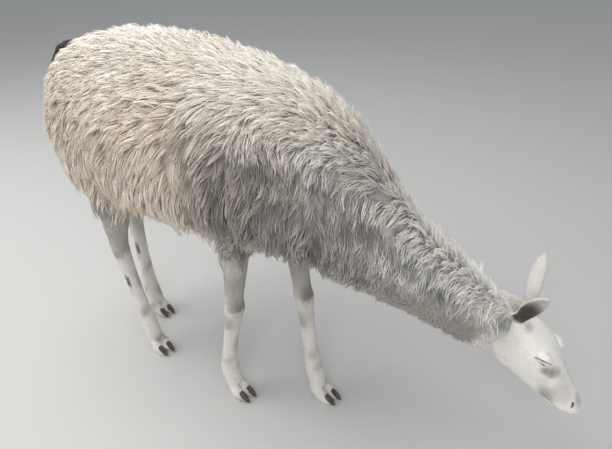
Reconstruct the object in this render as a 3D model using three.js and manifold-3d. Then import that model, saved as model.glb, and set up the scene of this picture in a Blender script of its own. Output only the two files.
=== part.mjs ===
// A life-size llama that grazes: it stands on four feet, its neck lowered and its head turned a little left.
// Millimetres, +Z up. The llama faces +X and its left side is +Y. The floor is z = 0.
// Every outline is that of the coat's tips, so the solids are as large as the animal looks.
import * as THREE from 'three';
import { mergeVertices } from 'three/addons/utils/BufferGeometryUtils.js';
import Module from 'manifold-3d';

const wasm = await Module();
wasm.setup();
const { Manifold, Mesh: SolidMesh } = wasm;

// Driving dimensions

const CUT = 0.4; // width of the thin cuts that part the body
const MIDDLE = [218, 29]; // the middle of the whole animal, seen from above, in the tables' frame
const BIG = 1200; // a cutting block larger than any part

// how many faces go round each kind of form, and how many lie along it
const SEGMENTS = { torso: 26, head: 22, leg: 12, toe: 8, nail: 6, tail: 10, ear: 10, eye: 10, brow: 8 };
const LENGTHS = { torso: 33, head: 18, leg: 15, toe: 4, nail: 3, tail: 10, ear: 8, hollow: 6 };

const KNEE_HEIGHT = 388;
const HOCK_HEIGHT = 418;
const FETLOCK_HEIGHT = 112;
const FOOT_TOP = 98; // where a foot is parted from its leg
const LEAN_HEIGHT = 600; // height over the fetlock at which a leg's whole lean is reached
const TOE_LENGTH = 88;
const TOE_SPREAD = 18; // half the distance between the two toes of a foot
const EYE_RADIUS = 20;
const BROW = { radii: [32, 15, 20], above: 6 }; // the swelling over each eye, and how far it sits above the eye
const EAR_LENGTH = 162;

// The torso is one form from rump to poll. at is a section's centre, side its half width, over and
// under its reach above and below the centre, and square how boxy it is (2 is an ellipse).
const TORSO = [
  { at: [-668, 0, 868], side: 45, over: 60, under: 60, square: 2.0 },
  { at: [-651, 0, 868], side: 125, over: 128, under: 142, square: 2.0 },
  { at: [-604, 0, 868], side: 188, over: 207, under: 228, square: 2.1 },
  { at: [-520, 0, 870], side: 238, over: 278, under: 272, square: 2.2 },
  { at: [-380, 0, 883], side: 270, over: 312, under: 277, square: 2.3 },
  { at: [-120, 0, 893], side: 292, over: 324, under: 284, square: 2.3 },
  { at: [170, 0, 886], side: 292, over: 292, under: 262, square: 2.3 },
  { at: [360, 4, 856], side: 262, over: 260, under: 232, square: 2.2 },
  { at: [490, 14, 802], side: 208, over: 218, under: 190, square: 2.1 },
  { at: [600, 36, 731], side: 158, over: 172, under: 154, square: 2.0 },
  { at: [705, 68, 660], side: 126, over: 133, under: 138, square: 2.0 },
  { at: [810, 110, 594], side: 106, over: 104, under: 126, square: 2.0 },
  { at: [905, 158, 530], side: 91, over: 84, under: 118, square: 2.0 },
  { at: [972, 198, 492], side: 70, over: 66, under: 98, square: 2.0 },
];

// The head in its own frame: x runs from the poll to the nose, y to the left, z out of the forehead.
const HEAD = [
  { at: [-36, 0, -16], side: 34, over: 30, under: 56, square: 2.0 },
  { at: [-12, 0, -10], side: 50, over: 46, under: 96, square: 2.0 },
  { at: [28, 0, -5], side: 57, over: 52, under: 120, square: 2.1 },
  { at: [75, 0, -2], side: 61, over: 54, under: 140, square: 2.2 },
  { at: [122, 0, -2], side: 60, over: 54, under: 136, square: 2.2 },
  { at: [168, 0, -6], side: 51, over: 46, under: 119, square: 2.1 },
  { at: [212, 0, -10], side: 43, over: 38, under: 101, square: 2.1 },
  { at: [255, 0, -14], side: 38, over: 33, under: 81, square: 2.2 },
  { at: [292, 0, -18], side: 36, over: 30, under: 63, square: 2.3 },
  { at: [318, 0, -24], side: 30, over: 26, under: 46, square: 2.2 },
  { at: [332, 0, -32], side: 16, over: 16, under: 24, square: 2.0 },
];
const HEAD_PLACE = { at: [1003, 226, 507], pitch: 48, yaw: 8, roll: 9 };

// A leg in its own frame: x forward, y outward from the body's middle plane, z up from under its foot.
const FORELEG = {
  upper: [
    { at: [10, 12, 720], side: 60, over: 66, under: 76, square: 2.0 },
    { at: [8, 8, 610], side: 52, over: 54, under: 62, square: 2.0 },
    { at: [6, 4, 500], side: 43, over: 44, under: 50, square: 2.0 },
    { at: [4, 2, 425], side: 38, over: 38, under: 40, square: 2.0 },
  ],
  lower: [
    { at: [4, 2, KNEE_HEIGHT], side: 41, over: 43, under: 36, square: 2.1 },
    { at: [2, 1, 318], side: 32, over: 31, under: 31, square: 2.0 },
    { at: [0, 0, 230], side: 28, over: 27, under: 30, square: 2.0 },
    { at: [-2, 0, 150], side: 29, over: 28, under: 32, square: 2.0 },
    { at: [0, 0, FETLOCK_HEIGHT], side: 34, over: 31, under: 36, square: 2.0 },
    { at: [12, 0, 76], side: 33, over: 30, under: 32, square: 2.0 },
    { at: [24, 0, 46], side: 30, over: 26, under: 28, square: 2.0 },
  ],
};
const HINDLEG = {
  upper: [
    { at: [90, 4, 860], side: 60, over: 100, under: 95, square: 2.0 },
    { at: [52, 14, 740], side: 84, over: 128, under: 122, square: 2.0 },
    { at: [0, 14, 620], side: 72, over: 104, under: 98, square: 2.0 },
    { at: [-38, 8, 510], side: 49, over: 62, under: 60, square: 2.0 },
  ],
  lower: [
    { at: [-58, 2, HOCK_HEIGHT], side: 38, over: 40, under: 45, square: 2.0 },
    { at: [-52, 0, 350], side: 31, over: 31, under: 36, square: 2.0 },
    { at: [-36, 0, 250], side: 28, over: 27, under: 30, square: 2.0 },
    { at: [-18, 0, 160], side: 29, over: 28, under: 31, square: 2.0 },
    { at: [-8, 0, FETLOCK_HEIGHT], side: 33, over: 31, under: 35, square: 2.0 },
    { at: [8, 0, 76], side: 32, over: 29, under: 31, square: 2.0 },
    { at: [22, 0, 46], side: 29, over: 26, under: 27, square: 2.0 },
  ],
};

// Where each foot stands, and how far the leg's top leans from its own frame (forward and outward).
const LEGS = [
  { name: 'front_right', form: FORELEG, foot: [152, -86], lean: [108, 26] },
  { name: 'front_left', form: FORELEG, foot: [394, 84], lean: [-134, 26] },
  { name: 'hind_right', form: HINDLEG, foot: [-274, -88], lean: [-84, 30] },
  { name: 'hind_left', form: HINDLEG, foot: [-472, 86], lean: [-46, 30] },
];

// The tail is carried a little off the rump. Its over and under are its half width, its side half its depth.
const TAIL = [
  { at: [-520, 0, 1096], side: 24, over: 26, under: 26, square: 2.0 },
  { at: [-600, 0, 1120], side: 29, over: 40, under: 40, square: 2.0 },
  { at: [-690, 0, 1096], side: 33, over: 52, under: 52, square: 2.0 },
  { at: [-742, 0, 1030], side: 33, over: 56, under: 56, square: 2.0 },
  { at: [-754, 0, 940], side: 30, over: 52, under: 52, square: 2.0 },
  { at: [-748, 0, 860], side: 24, over: 38, under: 38, square: 2.0 },
  { at: [-742, 0, 805], side: 10, over: 12, under: 12, square: 2.0 },
];

// The ears in the head's frame: where each is rooted, where its tip points and which way its hollow faces.
const EARS = [
  { name: 'ear_right', root: [3, -35, 21], points: [-0.27, -0.17, 0.94], hollow: [0.29, -0.95, -0.04] },
  { name: 'ear_left', root: [4, 36, 27], points: [-0.62, 0.58, 0.52], hollow: [0.55, 0.8, -0.3] },
];
const EYES = [
  { name: 'eye_right', at: [134, -41, 24] },
  { name: 'eye_left', at: [134, 41, 24] },
];

// Where the body is parted. The neck is cut square to its own line, a little behind the ears, and the
// lower jaw along the mouth's line, given in the head's frame.
const MOUTH_CUT = { at: [150, 0, -77], up: [-0.17, 0, 0.985], width: 500 };
const NECK_CUT = { at: [938, 176, 510], direction: [0.82, 0.38, -0.46], width: 330 };
const TRUNK_CUT = { at: [455, 10, 822], direction: [0.9, 0.1, -0.42], width: BIG };
const LEG_KNIFE = 500; // width of the cuts across a leg

// Materials

const UP = new THREE.Vector3(0, 0, 1);
const FORWARD = new THREE.Vector3(1, 0, 0);
const LEFT = new THREE.Vector3(0, 1, 0);
const finish = (color, roughness) => new THREE.MeshStandardMaterial({ color, roughness, metalness: 0 });
const MATERIALS = {
  fleece: finish(0xcfc3b2, 0.95),
  face: finish(0xd9d7d4, 0.9),
  leg: finish(0xd8d4cd, 0.92),
  tail: finish(0x4a3a30, 0.95),
  eye: finish(0x1b1410, 0.12),
  nail: finish(0x4b443c, 0.5),
};

// Solids

function solidFrom(geometry) {
  const bare = geometry.clone();
  for (const name of ['normal', 'uv']) bare.deleteAttribute(name);
  const merged = mergeVertices(bare, 1e-3);
  return new Manifold(new SolidMesh({
    numProp: 3,
    vertProperties: new Float32Array(merged.attributes.position.array),
    triVerts: new Uint32Array(merged.index.array),
  }));
}

function geometryFrom(solid) {
  const { vertProperties, triVerts } = solid.getMesh();
  const geometry = new THREE.BufferGeometry();
  geometry.setAttribute('position', new THREE.BufferAttribute(new Float32Array(vertProperties), 3));
  geometry.setIndex(new THREE.BufferAttribute(new Uint32Array(triVerts), 1));
  geometry.computeVertexNormals();
  return geometry;
}

const rounded = (value, square) => Math.sign(value) * Math.abs(value) ** (2 / square);

// A closed form along the curve through the stations' centres, made by bending a unit cylinder. up is
// the direction of over at each section, and grow makes every section that much larger.
function sweep(stations, up, around, along, grow = 0) {
  const last = stations.length - 1;
  const centres = stations.map((s) => new THREE.Vector3(...s.at));
  const curve = new THREE.CatmullRomCurve3(centres, false, 'centripetal');
  const sizes = ['side', 'over', 'under', 'square'].map((key) =>
    new THREE.SplineCurve(stations.map((s, i) => new THREE.Vector2(i / last, s[key]))));
  const geometry = new THREE.CylinderGeometry(1, 1, 1, around, along);
  const position = geometry.attributes.position;
  const point = new THREE.Vector3();
  for (let i = 0; i < position.count; i++) {
    point.fromBufferAttribute(position, i);
    const t = 0.5 - point.y;
    const radius = Math.hypot(point.x, point.z);
    const angle = Math.atan2(-point.z, point.x);
    const [side, over, under, square] = sizes.map((size) => size.getPoint(t).y);
    const forward = curve.getTangent(t);
    const left = new THREE.Vector3().crossVectors(up, forward).normalize();
    const rise = new THREE.Vector3().crossVectors(forward, left);
    const reach = Math.sin(angle) > 0 ? over : under;
    const across = rounded(Math.cos(angle), square) * (side + grow) * radius;
    const height = rounded(Math.sin(angle), square) * (reach + grow) * radius;
    const made = curve.getPoint(t).addScaledVector(left, across).addScaledVector(rise, height);
    if (radius < 0.5) made.copy(curve.getPoint(t));
    position.setXYZ(i, made.x, made.y, made.z);
  }
  const solid = solidFrom(geometry);
  return solid.volume() > 0 ? solid : solidFrom(turned(geometry));
}

function turned(geometry) {
  const index = geometry.index.array;
  for (let i = 0; i < index.length; i += 3) [index[i], index[i + 1]] = [index[i + 1], index[i]];
  return geometry;
}

function ellipsoid(radii, at, segments) {
  const geometry = new THREE.SphereGeometry(1, segments, Math.round(segments * 0.7));
  geometry.scale(...radii);
  geometry.translate(...at);
  return solidFrom(geometry);
}

// A thin slab through a point, square to a direction.
function slab(at, direction, width, thickness = CUT) {
  const geometry = new THREE.BoxGeometry(width, width, thickness);
  const facing = new THREE.Vector3(...direction).normalize();
  const turn = new THREE.Quaternion().setFromUnitVectors(UP, facing);
  geometry.applyQuaternion(turn);
  geometry.translate(...at);
  return solidFrom(geometry);
}

// The two large pieces of a solid after a cut, the one further along a direction last.
function parted(solid, knife, direction) {
  const along = new THREE.Vector3(...direction);
  const middle = (piece) => {
    const box = piece.boundingBox();
    return new THREE.Vector3(...box.min).add(new THREE.Vector3(...box.max)).dot(along);
  };
  const pieces = solid.subtract(knife).decompose().sort((a, b) => b.volume() - a.volume()).slice(0, 2);
  return pieces.sort((a, b) => middle(a) - middle(b));
}

function placed(solid, matrix) {
  return solid.transform(matrix.toArray());
}

// The parts

const radians = THREE.MathUtils.degToRad;

function headMatrix() {
  const { at, pitch, yaw, roll } = HEAD_PLACE;
  const turn = new THREE.Euler(radians(roll), radians(pitch), radians(yaw), 'ZYX');
  return new THREE.Matrix4().makeRotationFromEuler(turn).setPosition(...at);
}

function ear({ root, points, hollow }, grow = 0) {
  const out = new THREE.Vector3(...points).normalize();
  const open = new THREE.Vector3(...hollow);
  open.addScaledVector(out, -open.dot(out)).normalize();
  const along = (share, bend) => {
    const spot = new THREE.Vector3(...root).addScaledVector(out, share * EAR_LENGTH);
    return spot.addScaledVector(open, bend).toArray();
  };
  const outer = [
    { at: along(-0.1, 0), side: 15, over: 12, under: 12, square: 2 },
    { at: along(0.12, -3), side: 20, over: 15, under: 16, square: 2 },
    { at: along(0.4, -4), side: 27, over: 13, under: 17, square: 2 },
    { at: along(0.7, 0), side: 24, over: 9, under: 13, square: 2 },
    { at: along(0.9, 6), side: 14, over: 6, under: 8, square: 2 },
    { at: along(1, 11), side: 4, over: 2.5, under: 3, square: 2 },
  ];
  const inner = [
    { at: along(0.1, 9), side: 6, over: 9, under: 5, square: 2 },
    { at: along(0.25, 9), side: 16, over: 14, under: 12, square: 2 },
    { at: along(0.45, 9), side: 22, over: 12, under: 18, square: 2 },
    { at: along(0.7, 11), side: 19, over: 12, under: 14, square: 2 },
    { at: along(0.88, 15), side: 10, over: 9, under: 8, square: 2 },
    { at: along(0.96, 19), side: 3, over: 4, under: 3, square: 2 },
  ];
  const shell = sweep(outer, open, SEGMENTS.ear, LENGTHS.ear, grow);
  return grow ? shell : shell.subtract(sweep(inner, open, SEGMENTS.ear, LENGTHS.hollow));
}

function toe(side, grow = 0) {
  const y = side * TOE_SPREAD;
  const stations = [
    { at: [2, y * 0.6, 56], side: 16, over: 22, under: 26, square: 2 },
    { at: [20, y * 0.9, 39], side: 19, over: 24, under: 30, square: 2 },
    { at: [46, y, 26], side: 19.5, over: 22, under: 30, square: 2.2 },
    { at: [72, y, 17], side: 16.5, over: 15, under: 22, square: 2.2 },
    { at: [TOE_LENGTH, y * 0.95, 11], side: 7, over: 6, under: 12, square: 2 },
  ];
  return sweep(stations, UP, SEGMENTS.toe, LENGTHS.toe, grow);
}

function nail(side, grow = 0) {
  const y = side * TOE_SPREAD;
  const stations = [
    { at: [62, y, 31], side: 10.5, over: 8, under: 6, square: 2 },
    { at: [77, y, 25], side: 10.5, over: 6, under: 9, square: 2 },
    { at: [92, y * 0.98, 15], side: 8, over: 4, under: 8, square: 2 },
    { at: [101, y * 0.96, 8], side: 3, over: 2, under: 3, square: 2 },
  ];
  return sweep(stations, UP, SEGMENTS.nail, LENGTHS.nail, grow);
}

// The origin is the floor point under the middle of the whole animal.
const llama = new THREE.Group();
llama.name = 'llama';
llama.position.set(-MIDDLE[0], -MIDDLE[1], 0);

function add(name, solid, material) {
  const mesh = new THREE.Mesh(geometryFrom(solid), material);
  mesh.name = name;
  llama.add(mesh);
}

const torso = sweep(TORSO, UP, SEGMENTS.torso, LENGTHS.torso);
const torsoGrown = sweep(TORSO, UP, SEGMENTS.torso, LENGTHS.torso, 2 * CUT);

// Head, with its jaw, eyes and ears.
const toBody = headMatrix();
const skull = sweep(HEAD, UP, SEGMENTS.head, LENGTHS.head);
const brow = ([x, y, z]) => ellipsoid(BROW.radii, [x - 2, y * 1.06, z + BROW.above], SEGMENTS.brow);
const brows = EYES.map((one) => brow(one.at));
const eyeball = (at, grow = 0) => ellipsoid(Array(3).fill(EYE_RADIUS + grow), at, SEGMENTS.eye);
const sockets = EYES.map(({ at }) => eyeball(at, CUT));
let headSolid = skull;
for (const one of brows) headSolid = headSolid.add(one);
for (const one of sockets) headSolid = headSolid.subtract(one);
for (const one of EARS) headSolid = headSolid.subtract(ear(one, CUT));
const headInBody = placed(headSolid, toBody);

const whole = torso.add(headInBody);
const cutAt = ({ at, direction, width }) => slab(at, direction, width);
const [rest, headAll] = parted(whole, cutAt(NECK_CUT), NECK_CUT.direction);
const mouthUp = new THREE.Vector3(...MOUTH_CUT.up).transformDirection(toBody).toArray();
const mouthAt = new THREE.Vector3(...MOUTH_CUT.at).applyMatrix4(toBody).toArray();
const [jaw, head] = parted(headAll, slab(mouthAt, mouthUp, MOUTH_CUT.width), mouthUp);
const [trunk, neck] = parted(rest, cutAt(TRUNK_CUT), TRUNK_CUT.direction);

add('trunk', trunk, MATERIALS.fleece);
add('neck', neck, MATERIALS.fleece);
add('head', head, MATERIALS.face);
add('lower_jaw', jaw, MATERIALS.face);
for (const one of EYES) add(one.name, placed(eyeball(one.at), toBody), MATERIALS.eye);
for (const one of EARS) add(one.name, placed(ear(one), toBody), MATERIALS.face);

// Tail.
add('tail', sweep(TAIL, LEFT, SEGMENTS.tail, LENGTHS.tail).subtract(torsoGrown), MATERIALS.tail);

// Legs.
const FLOOR = slab([0, 0, -BIG / 2], [0, 0, 1], BIG * 3, BIG);
for (const { name, form, foot: [x, y], lean } of LEGS) {
  const outward = Math.sign(y);
  const stations = [...form.upper, ...form.lower].map((s) => {
    const share = Math.max(0, s.at[2] - FETLOCK_HEIGHT) / LEAN_HEIGHT;
    const [forth, out, height] = s.at;
    return { ...s, at: [x + forth + lean[0] * share, y + outward * (out + lean[1] * share), height] };
  });
  const limb = sweep(stations, FORWARD, SEGMENTS.leg, LENGTHS.leg).subtract(torsoGrown);
  const toFoot = new THREE.Matrix4().makeTranslation(x, y, 0);
  let whole = limb.decompose().sort((a, b) => a.boundingBox().min[2] - b.boundingBox().min[2])[0];
  for (const side of [-1, 1]) whole = whole.add(placed(toe(side), toFoot));
  for (const side of [-1, 1]) whole = whole.subtract(placed(nail(side, CUT), toFoot));
  whole = whole.subtract(FLOOR);
  const joint = form === FORELEG ? KNEE_HEIGHT : HOCK_HEIGHT;
  const [below, upper] = parted(whole, slab([x, y, joint], [0, 0, 1], LEG_KNIFE), [0, 0, 1]);
  const [foot, lower] = parted(below, slab([x, y, FOOT_TOP], [0, 0, 1], LEG_KNIFE), [0, 0, 1]);
  add(`leg_${name}_upper`, upper, MATERIALS.leg);
  add(`leg_${name}_lower`, lower, MATERIALS.leg);
  add(`foot_${name}`, foot, MATERIALS.leg);
  for (const side of [-1, 1]) {
    add(`nail_${name}_${side < 0 ? 'a' : 'b'}`, placed(nail(side), toFoot).subtract(FLOOR), MATERIALS.nail);
  }
}

export default llama;
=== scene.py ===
import math

import bmesh
import bpy
import numpy as np
from mathutils import Matrix, Vector, noise
from mathutils.bvhtree import BVHTree
from mathutils.kdtree import KDTree


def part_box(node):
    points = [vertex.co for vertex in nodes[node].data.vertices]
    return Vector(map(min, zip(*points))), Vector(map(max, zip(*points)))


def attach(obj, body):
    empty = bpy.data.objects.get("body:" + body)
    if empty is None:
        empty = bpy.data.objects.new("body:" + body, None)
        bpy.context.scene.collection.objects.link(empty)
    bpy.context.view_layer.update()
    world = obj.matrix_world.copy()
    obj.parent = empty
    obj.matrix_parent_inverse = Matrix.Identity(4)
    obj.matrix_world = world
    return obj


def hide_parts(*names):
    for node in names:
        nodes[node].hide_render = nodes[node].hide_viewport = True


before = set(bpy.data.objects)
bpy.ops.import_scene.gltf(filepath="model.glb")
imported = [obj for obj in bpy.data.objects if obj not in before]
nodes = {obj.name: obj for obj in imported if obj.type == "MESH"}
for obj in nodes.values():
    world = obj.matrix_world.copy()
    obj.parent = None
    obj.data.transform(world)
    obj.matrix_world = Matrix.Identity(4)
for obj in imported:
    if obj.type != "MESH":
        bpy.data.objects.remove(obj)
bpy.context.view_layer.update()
up = np.array((0.0, 0.0, 1.0))
sides = ("right", "left")

camera = {
    "target": (0.096, 0.115, 0.616),
    "distance": 2.115,
    "azimuth": 38.80,
    "elevation": 26.24,
    "roll": -0.57,
    "lens": 38.15,
}

studio = {
    "floorColor": (0.55, 0.55, 0.54, 1.0),
    "floorTint": (0.42, 0.42, 0.42, 1.0),
    "floorSize": 60.0,
    "skyColor": (0.93, 0.96, 1.0, 1.0),
    "skyStrength": 0.46,
}

# place, size in metres, power in watts, colour
lamps = {
    "keyLamp": ((-2.0, -0.8, 4.8), 4.2, 167.0, (1.0, 0.975, 0.94)),
    "sideLamp": ((-3.4, -2.6, 2.4), 3.5, 80.0, (1.0, 0.99, 0.97)),
    "headLamp": ((2.4, -3.0, 2.6), 2.0, 78.0, (0.97, 0.985, 1.0)),
}


def placed(name, data):
    thing = bpy.data.objects.new(name, data)
    bpy.context.scene.collection.objects.link(thing)
    return thing


def aimAt(place, target, roll=0.0):
    back = (place - target).normalized()
    level = Vector((0, 0, 1)).cross(back).normalized()
    rise = back.cross(level)
    turn = math.radians(roll)
    right = level * math.cos(turn) + rise * math.sin(turn)
    top = back.cross(right)
    aim = Matrix((right, top, back)).transposed().to_4x4()
    return Matrix.Translation(place) @ aim


def setCamera():
    target = Vector(camera["target"])
    turn = math.radians(camera["azimuth"])
    tilt = math.radians(camera["elevation"])
    back = Vector((math.sin(turn) * math.cos(tilt), -math.cos(turn) * math.cos(tilt), math.sin(tilt)))
    data = bpy.data.cameras.new("camera")
    data.lens = camera["lens"]
    data.sensor_width = 36.0
    eye = placed("camera", data)
    eye.matrix_world = aimAt(target + back * camera["distance"], target, camera["roll"])
    bpy.context.scene.camera = eye


def setStudio():
    bm = bmesh.new()
    bmesh.ops.create_grid(bm, x_segments=1, y_segments=1, size=studio["floorSize"] / 2)
    floor = toObject("floor", bm, floorMaterial())
    world = bpy.data.worlds.new("softSky")
    world.use_nodes = True
    sky = world.node_tree.nodes["Background"]
    sky.inputs["Color"].default_value = studio["skyColor"]
    sky.inputs["Strength"].default_value = studio["skyStrength"]
    bpy.context.scene.world = world
    for name, (place, size, power, color) in lamps.items():
        data = bpy.data.lights.new(name, "AREA")
        data.size = size
        data.energy = power
        data.color = color
        lamp = placed(name, data)
        lamp.matrix_world = aimAt(Vector(place), Vector(camera["target"]))
    bpy.context.scene.view_settings.view_transform = "Standard"


def toObject(name, bm, material):
    mesh = bpy.data.meshes.new(name)
    bm.to_mesh(mesh)
    bm.free()
    mesh.shade_smooth()
    mesh.materials.append(material)
    return placed(name, mesh)


def newMaterial(name, finish):
    material = bpy.data.materials.new(name)
    material.use_nodes = True
    tree = material.node_tree
    shader = tree.nodes["Principled BSDF"]
    for title, value in finish.items():
        shader.inputs[title].default_value = value
    return material, tree, shader


def addNode(tree, kind, inputs=None, **settings):
    node = tree.nodes.new(kind)
    for name, value in settings.items():
        setattr(node, name, value)
    for name, value in (inputs or {}).items():
        if isinstance(value, bpy.types.NodeSocket):
            tree.links.new(value, node.inputs[name])
        else:
            node.inputs[name].default_value = value
    return node


def attribute(tree, name, output="Fac"):
    return addNode(tree, "ShaderNodeAttribute", attribute_name=name).outputs[output]


def mixColors(tree, share, first, second, blend="MIX"):
    inputs = {0: share, 6: first, 7: second}
    return addNode(tree, "ShaderNodeMix", inputs, data_type="RGBA", blend_type=blend).outputs[2]


def shaded(tree, color, first, second):
    # the colour times two shares
    both = addNode(tree, "ShaderNodeMath", {0: first, 1: second}, operation="MULTIPLY")
    shades = {channel: both.outputs[0] for channel in ("Red", "Green", "Blue")}
    level = addNode(tree, "ShaderNodeCombineColor", shades)
    return mixColors(tree, 1.0, color, level.outputs["Color"], "MULTIPLY")


def noiseOn(tree, vector, scale, detail, roughness):
    inputs = {"Vector": vector, "Scale": scale, "Detail": detail, "Roughness": roughness}
    return addNode(tree, "ShaderNodeTexNoise", inputs).outputs["Fac"]


def spread(tree, value, low, high, start=0.0, end=1.0):
    inputs = {"Value": value, "From Min": low, "From Max": high, "To Min": start, "To Max": end}
    node = addNode(tree, "ShaderNodeMapRange", inputs, interpolation_type="SMOOTHSTEP")
    return node.outputs["Result"]


def noiseAt(tree, scale, detail=3.0, stretch=(1, 1, 1)):
    place = addNode(tree, "ShaderNodeTexCoord").outputs["Object"]
    moved = addNode(tree, "ShaderNodeMapping", {"Vector": place, "Scale": stretch})
    return noiseOn(tree, moved.outputs["Vector"], scale, detail, 0.55)


def softStep(low, high, values):
    share = np.clip((values - low) / (high - low), 0, 1)
    return share * share * (3 - 2 * share)


def unit(vectors):
    size = np.linalg.norm(vectors, axis=-1, keepdims=True)
    return vectors / np.maximum(size, 1e-9)


def across(vectors, normals):
    flat = vectors - normals * np.sum(vectors * normals, axis=-1, keepdims=True)
    return unit(flat)


def blobNoise(points, size, seed):
    shift = Vector((seed * 7.3, seed * 3.1, seed * 1.7))
    return np.array([noise.noise(Vector(p) / size + shift) for p in points])


def between(first, second, share):
    return first * (1 - share) + second * share


def named(owners, *starts):
    # true where the owner's name starts with one of these
    return np.any([np.char.startswith(owners, start) for start in starts], axis=0)


# colours that the skin and the coat share; ash and umber also stand for painted shade
coatColors = {
    "cream": (0.90, 0.87, 0.81, 1.0),
    "fawn": (0.83, 0.715, 0.595, 1.0),
    "ash": (0.47, 0.43, 0.385, 1.0),
    "umber": (0.045, 0.028, 0.018, 1.0),
}

markSpots = {
    "fawnCentre": (-0.30, 0.86),
    "fawnReach": (0.62, 0.32),
    "whiteLine": (1.09, 1.20),
    "glandHeight": 0.285,
    "glandLength": 0.055,
    "kneeHeight": 0.402,
    "kneeLength": 0.034,
}

markStrength = {
    "belly": 0.40,
    "neckUnder": 0.42,
    "neckPatches": 0.16,
    "chest": 0.90,
    "throat": 0.95,
    "throatBrown": 0.12,
    "flank": 0.15,
    "tail": 0.97,
    # painted shade in the hollow behind the hind thighs
    "thighShade": 0.80,
    "thighShadeBrown": 0.22,
    "gland": 0.85,
    "knee": 0.74,
}


def nodeCentre(name):
    low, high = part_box(name)
    return np.array((low + high) / 2)


def markings(points, normals, owners):
    # red = fawn, green = ash, blue = umber, alpha = 1 on the head; ash and umber also carry painted
    # shade under the body, on the chest and neck, on the upper legs and behind the hind thighs
    x, _, z = points.T
    strength = markStrength
    patch = blobNoise(points, 0.20, 1)
    wool = np.isin(owners, ("trunk", "neck", "tail")) | np.char.endswith(owners, "upper")
    fx, fz = markSpots["fawnCentre"]
    rx, rz = markSpots["fawnReach"]
    reach = np.sqrt(((x - fx) / rx) ** 2 + ((z - fz) / rz) ** 2)
    fawn = 1 - softStep(0.40, 1.45, reach + 0.35 * patch)
    fawn *= 1 - 0.70 * softStep(*markSpots["whiteLine"], z + 0.05 * patch)
    fawn *= softStep(0.45, 0.62, z) * wool
    neck = softStep(0.10, 0.60, x) * wool
    # greyer where the wool faces down: partly the coat's own grey, partly painted shade
    belly = softStep(0.25, 0.9, -normals[:, 2]) * softStep(0.30, 0.45, z) * wool
    # chest and lower shoulder: partly greyer coat, partly painted shade
    chest = softStep(-0.12, 0.22, x) * softStep(1.14, 0.70, z + 0.06 * patch)
    chest *= softStep(0.66, 0.30, x)
    # the underside of the neck towards the jaw: partly grey-brown coat, partly painted shade
    throat = softStep(0.26, 0.50, x) * softStep(0.35, -0.20, normals[:, 2]) * wool
    leg = named(owners, "leg", "foot") * softStep(0.62, 0.50, z)
    mottle = softStep(-0.1, 0.6, blobNoise(points, 0.05, 6))
    # painted shade in the hollow between the body's wool and the hind thigh
    thighShade = named(owners, "leg_hind") * softStep(0.48, 0.54, z) * softStep(0.70, 0.60, z)
    faceAsh, faceUmber = faceMarks(points, normals, owners)
    ash = np.maximum.reduce((
        strength["belly"] * belly,
        # greyer where the neck faces down: partly its own grey, partly painted shade
        strength["neckUnder"] * neck * softStep(0.0, 0.85, -normals[:, 2]),
        strength["neckPatches"] * neck * softStep(-0.2, 0.5, patch),
        strength["chest"] * chest * wool,
        strength["throat"] * throat,
        strength["flank"] * fawn,
        # the legs' own grey-brown, darker towards the body above as painted shade
        leg * (0.50 + 0.40 * softStep(0.30, 0.50, z) + 0.42 * mottle),
        strength["thighShade"] * thighShade,
        faceAsh,
    ))
    umber = np.maximum.reduce((
        strength["tail"] * (owners == "tail"),
        # brown mottling, and painted shade high on the legs
        leg * (0.20 * softStep(0.34, 0.46, z) + 0.16 * mottle),
        strength["thighShadeBrown"] * thighShade,
        strength["throatBrown"] * throat,
        legMarks(points, normals, owners),
        faceUmber,
    ))
    return np.stack((fawn, ash, umber, onFace(owners) * 1.0), axis=1)


def legMarks(points, normals, owners):
    # dark slits of the hind glands, and dark pads at the front of the knees
    shin = named(owners, "leg_hind") & np.char.endswith(owners, "lower")
    height = np.abs(points[:, 2] - markSpots["glandHeight"]) / (markSpots["glandLength"] / 2)
    outer, inner = (normals @ np.array((0.25, way, 0.0)) for way in (-0.97, 0.97))
    aside = np.maximum(outer, inner)
    slit = shin * (1 - softStep(0.6, 1.0, height)) * softStep(0.90, 0.97, aside)
    height = np.abs(points[:, 2] - markSpots["kneeHeight"]) / markSpots["kneeLength"]
    front = named(owners, "leg_front") * softStep(-0.2, 0.8, normals[:, 0])
    pad = front * (1 - softStep(0.4, 1.0, height))
    return np.maximum(markStrength["gland"] * slit, markStrength["knee"] * pad)


def headTurn():
    return np.array(headMatrix())[:3, :3]


def headFrame(points, normals):
    turn = headTurn()
    return (points - np.array(headPlace["origin"])) @ turn, normals @ turn


def fromHead(spots):
    return spots @ headTurn().T + np.array(headPlace["origin"])


def folded(spots):
    # the left half laid over the right one
    return np.stack((spots[:, 0], np.abs(spots[:, 1]), spots[:, 2]), axis=1)


faceSpots = (
    # place on the right half, reach, grey, brown
    # painted shade under the lashes, partly tear staining, reaching towards the bridge of the nose
    ((0.166, 0.045, 0.010), 0.026, 0.92, 0.30),
    ((0.180, 0.040, 0.019), 0.028, 0.94, 0.32),
    ((0.190, 0.032, 0.029), 0.028, 0.88, 0.20),
    # painted shade on the side of the muzzle
    ((0.218, 0.024, 0.026), 0.036, 0.50, 0.00),
    ((0.238, 0.030, 0.008), 0.052, 0.55, 0.00),
    # grey on the lower cheek
    ((0.200, 0.042, -0.024), 0.040, 0.34, 0.00),
    # painted shade at the ear's root
    ((0.036, 0.036, 0.041), 0.026, 0.70, 0.12),
    # dirt on the chin and lips
    ((0.244, 0.022, -0.050), 0.048, 0.75, 0.44),
    # grey on the tip of the nose
    ((0.298, 0.000, 0.004), 0.042, 0.62, 0.06),
    # painted shade on the side of the muzzle
    ((0.262, 0.032, -0.004), 0.050, 0.55, 0.02),
)


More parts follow.
